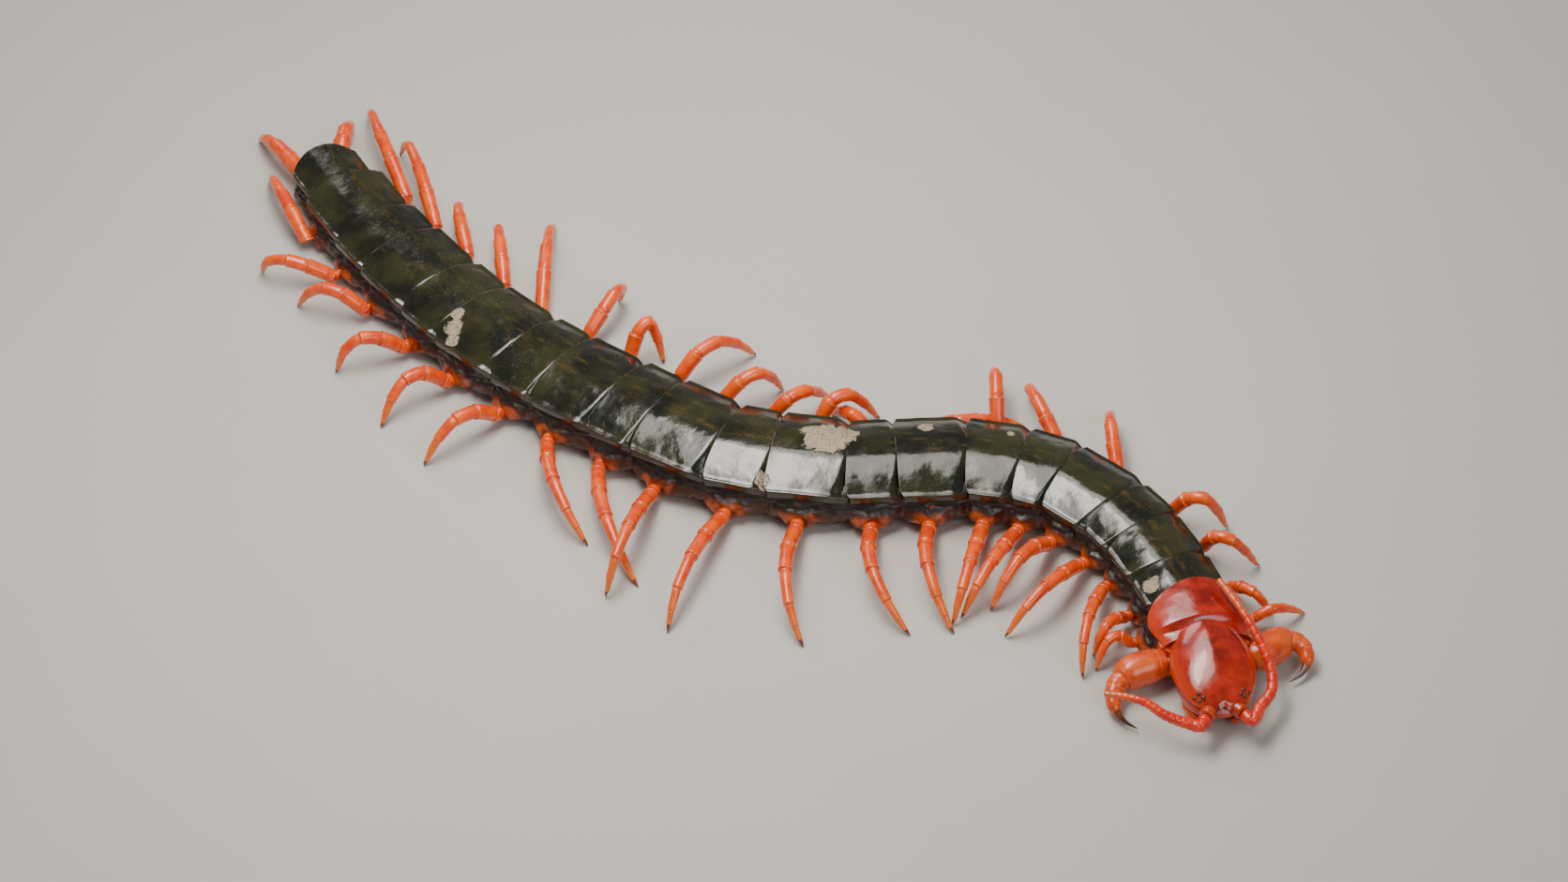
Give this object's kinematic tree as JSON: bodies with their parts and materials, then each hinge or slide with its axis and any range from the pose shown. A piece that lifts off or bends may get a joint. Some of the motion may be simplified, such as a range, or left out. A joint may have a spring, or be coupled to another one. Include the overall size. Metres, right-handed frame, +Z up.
{
  "type": "giant centipede",
  "caption": "Life-size giant centipede at rest, its long body bent in a double curve, head, antennae, venom claws and jointed legs spread on the floor.",
  "frame": {"origin": "on the floor at the centre of the box round the whole animal, spread legs included", "axes": "+Z up; +X along the longest side of that box, toward the end that has the head; +Y to the side that the tail end lies on"},
  "size_m": [0.1422, 0.1192, 0.009],
  "materials": {
    "dark_plate": "glossy dark olive to black back plates",
    "red_plate": "glossy deep red head plate and first plate",
    "leg": "glossy orange-red legs, paler toward the tips",
    "antenna": "satin red antennae, salmon toward the tips",
    "forcipule": "glossy orange venom claws",
    "flank": "wrinkled brown flank and belly skin",
    "claw": "near-black horny claw and fang tips",
    "eye": "glossy black simple eyes"
  },
  "bodies": {
    "root": {"head": "red_plate", "antenna_left": "antenna", "antenna_right": "antenna", "forcipule_left": "forcipule", "forcipule_right": "forcipule", "trunk_01": "red_plate", "trunk_02_03": "dark_plate", "trunk_04_05": "dark_plate", "trunk_06_07": "dark_plate", "trunk_08_09": "dark_plate", "trunk_10_11": "dark_plate", "trunk_12_13": "dark_plate", "trunk_14_15": "dark_plate", "trunk_16_17": "dark_plate", "trunk_18_19": "dark_plate", "trunk_20_21": "dark_plate", "leg_left_01": "leg", "leg_right_01": "leg", "leg_left_02": "leg", "leg_right_02": "leg", "leg_left_03": "leg", "leg_right_03": "leg", "leg_left_04": "leg", "leg_right_04": "leg", "leg_left_05": "leg", "leg_right_05": "leg", "leg_left_06": "leg", "leg_right_06": "leg", "leg_left_07": "leg", "leg_right_07": "leg", "leg_left_08": "leg", "leg_right_08": "leg", "leg_left_09": "leg", "leg_right_09": "leg", "leg_left_10": "leg", "leg_right_10": "leg", "leg_left_11": "leg", "leg_right_11": "leg", "leg_left_12": "leg", "leg_right_12": "leg", "leg_left_13": "leg", "leg_right_13": "leg", "leg_left_14": "leg", "leg_right_14": "leg", "leg_left_15": "leg", "leg_right_15": "leg", "leg_left_16": "leg", "leg_right_16": "leg", "leg_left_17": "leg", "leg_right_17": "leg", "leg_left_18": "leg", "leg_right_18": "leg", "leg_left_19": "leg", "leg_right_19": "leg", "leg_left_20": "leg", "leg_right_20": "leg", "leg_left_21": "leg", "leg_right_21": "leg"}
  },
  "joints": []
}
